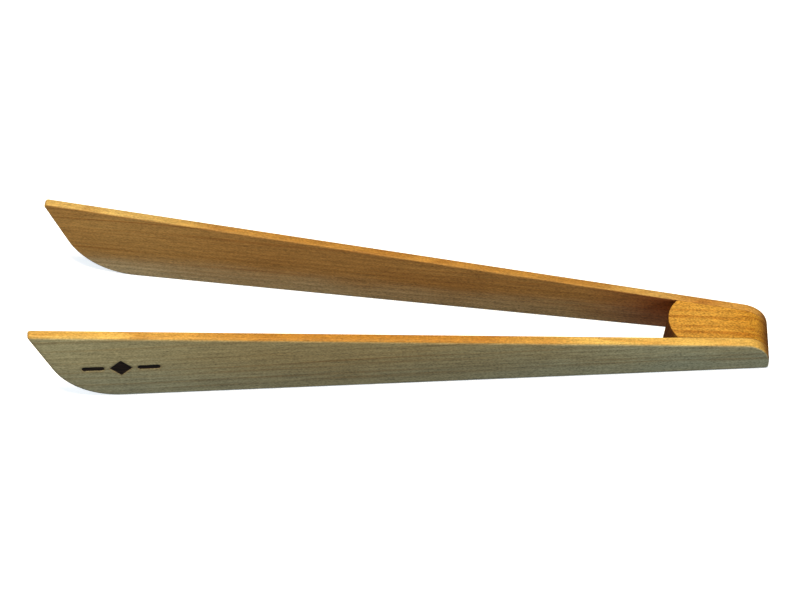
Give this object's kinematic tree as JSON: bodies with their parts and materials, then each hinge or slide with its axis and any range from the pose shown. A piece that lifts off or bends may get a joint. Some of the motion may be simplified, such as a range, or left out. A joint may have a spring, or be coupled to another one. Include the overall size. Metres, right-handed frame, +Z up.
{
  "type": "print tongs",
  "caption": "Wooden spring tongs: thin tapering blades with slanting rounded tips, glued either side of a wedge block at the heel.",
  "frame": {"origin": "middle of the footprint, on the surface the tongs stand on", "axes": "+X along the tongs towards the glued heel with the tips at -X, +Y towards the far blade, +Z up, across the blades' width"},
  "size_m": [0.25, 0.0622, 0.033],
  "materials": {
    "blade_wood": "fine-sanded straight-grained wood with an oiled, satin surface",
    "block_wood": "fine-sanded wood, grain along the tongs, slightly redder than the blades",
    "dried_glue": "thin brown line of dried wood glue"
  },
  "bodies": {
    "heel": {"wedge_block": "block_wood", "near_blade_root": "blade_wood", "far_blade_root": "blade_wood", "near_glue_line": "dried_glue", "far_glue_line": "dried_glue"},
    "near_arm": {"near_blade_arm": "blade_wood"},
    "far_arm": {"far_blade_arm": "blade_wood"}
  },
  "joints": [
    {"name": "near_blade_flex", "type": "hinge", "parent": "heel", "child": "near_arm", "pos_m": [0.06327, -0.01259, 0], "axis": [0, 0, -1], "range_deg": [0, 8.41], "stiffness_Nm_per_rad": 6.1},
    {"name": "far_blade_flex", "type": "hinge", "parent": "heel", "child": "far_arm", "pos_m": [0.06327, 0.01259, 0], "axis": [0, 0, 1], "range_deg": [0, 8.41], "stiffness_Nm_per_rad": 6.1}
  ]
}
